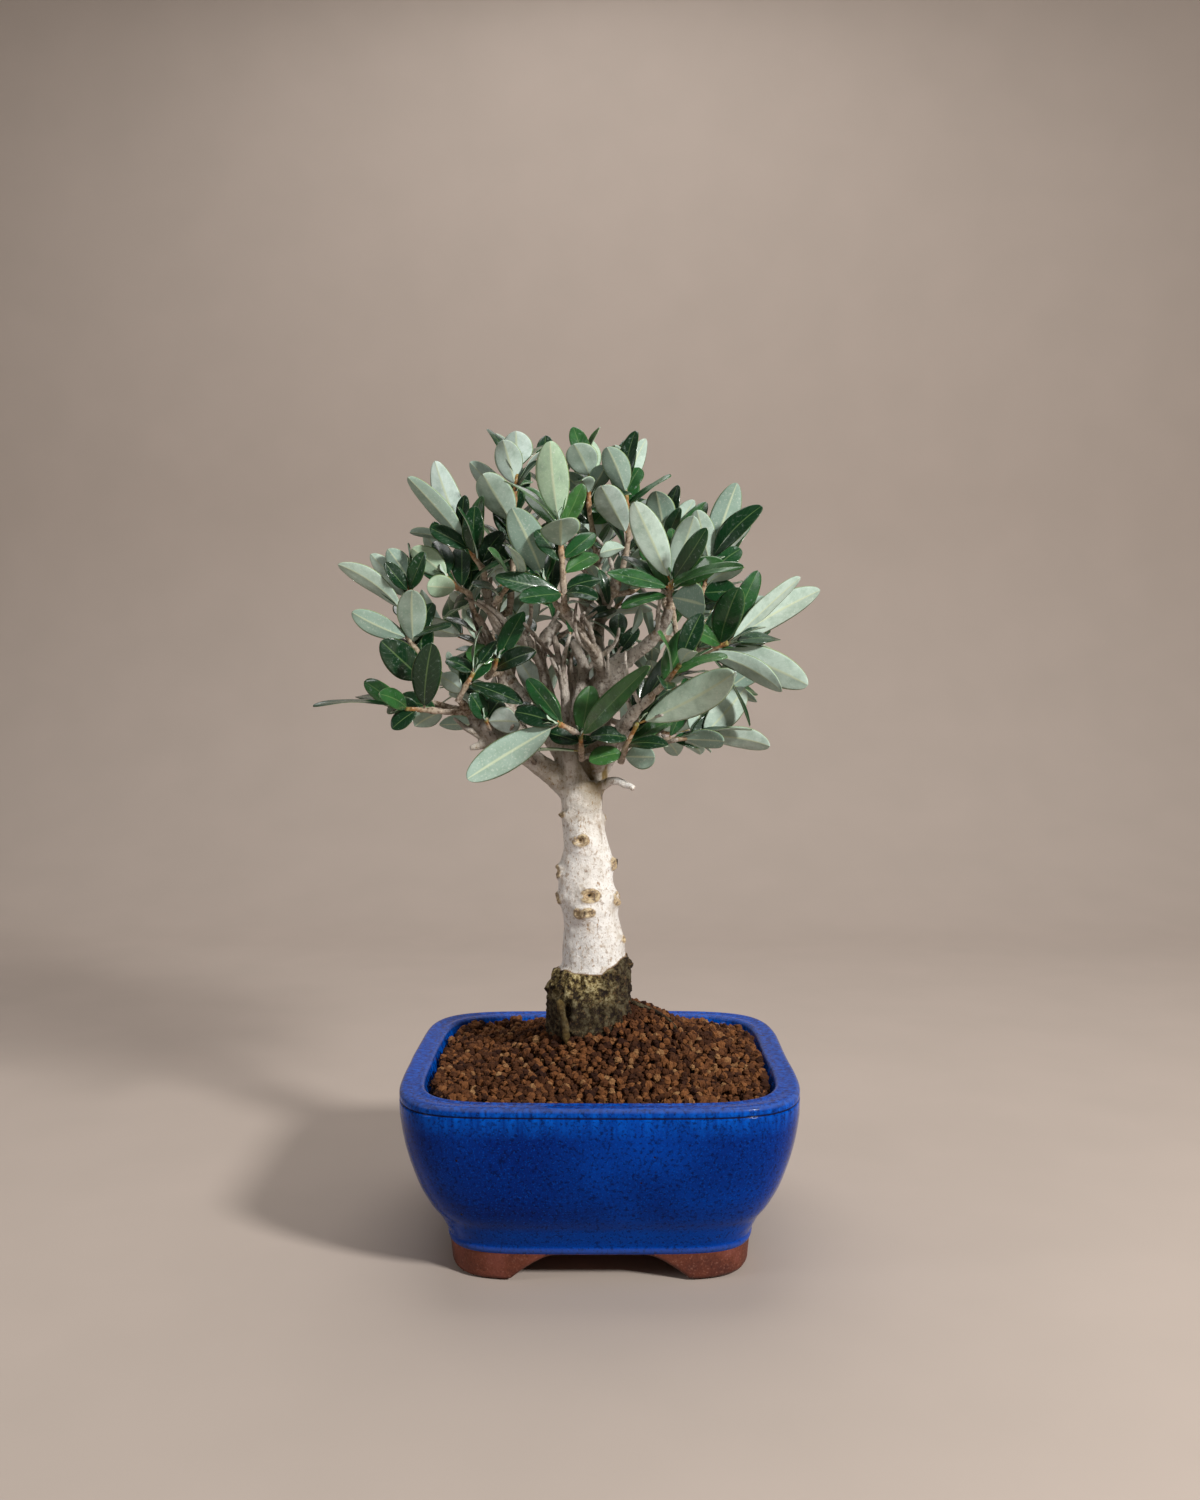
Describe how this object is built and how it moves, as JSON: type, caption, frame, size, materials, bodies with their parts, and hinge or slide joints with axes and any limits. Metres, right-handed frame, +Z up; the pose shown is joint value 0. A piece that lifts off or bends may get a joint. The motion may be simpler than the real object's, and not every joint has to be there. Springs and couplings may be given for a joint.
{
  "type": "olive bonsai",
  "caption": "Small olive tree with a white trunk, cork base and round leafy crown, in a footed square pot glazed blue and filled with brown clay granules.",
  "frame": {"origin": "on the ground plane, under the middle of the whole plant's bounding box; the pot's middle is 12 mm to +X of it", "axes": "+Z up the trunk, +X to the right of the front view, +Y to the back of the pot"},
  "size_m": [0.1954, 0.15, 0.3209],
  "materials": {
    "glazed_pot": "gloss",
    "clay_granules": "matte",
    "olive_bark": "matte",
    "leaf": "satin",
    "plastic_mesh": "matte"
  },
  "bodies": {
    "root": {"pot": "glazed_pot", "soil": "clay_granules", "trunk": "olive_bark", "drain_screen_left": "plastic_mesh", "drain_screen_right": "plastic_mesh", "shoot_left_low": "leaf", "shoot_left_up": "leaf", "shoot_left_twig": "leaf", "shoot_left_fork": "leaf", "shoot_left_outer_tip": "leaf", "shoot_left_middle": "leaf", "shoot_left_top": "leaf", "shoot_upper_left": "leaf", "shoot_centre_left": "leaf", "shoot_centre": "leaf", "shoot_top_middle": "leaf", "shoot_top_right": "leaf", "shoot_right_top": "leaf", "shoot_right_behind": "leaf", "shoot_right_middle": "leaf", "shoot_far_right": "leaf", "shoot_low_middle": "leaf", "shoot_low_middle_fork": "leaf", "shoot_low_right": "leaf", "shoot_right_low": "leaf", "shoot_back_01": "leaf", "shoot_back_02": "leaf", "shoot_back_03": "leaf", "shoot_back_04": "leaf", "shoot_back_05": "leaf", "shoot_back_06": "leaf", "shoot_back_07": "leaf", "shoot_back_08": "leaf", "shoot_back_09": "leaf", "shoot_back_10": "leaf", "shoot_back_11": "leaf", "shoot_back_12": "leaf", "shoot_back_13": "leaf", "shoot_back_14": "leaf", "shoot_back_15": "leaf", "shoot_back_16": "leaf", "shoot_back_17": "leaf", "shoot_back_18": "leaf", "shoot_back_19": "leaf", "shoot_back_20": "leaf", "shoot_back_21": "leaf", "shoot_back_22": "leaf"}
  },
  "joints": []
}
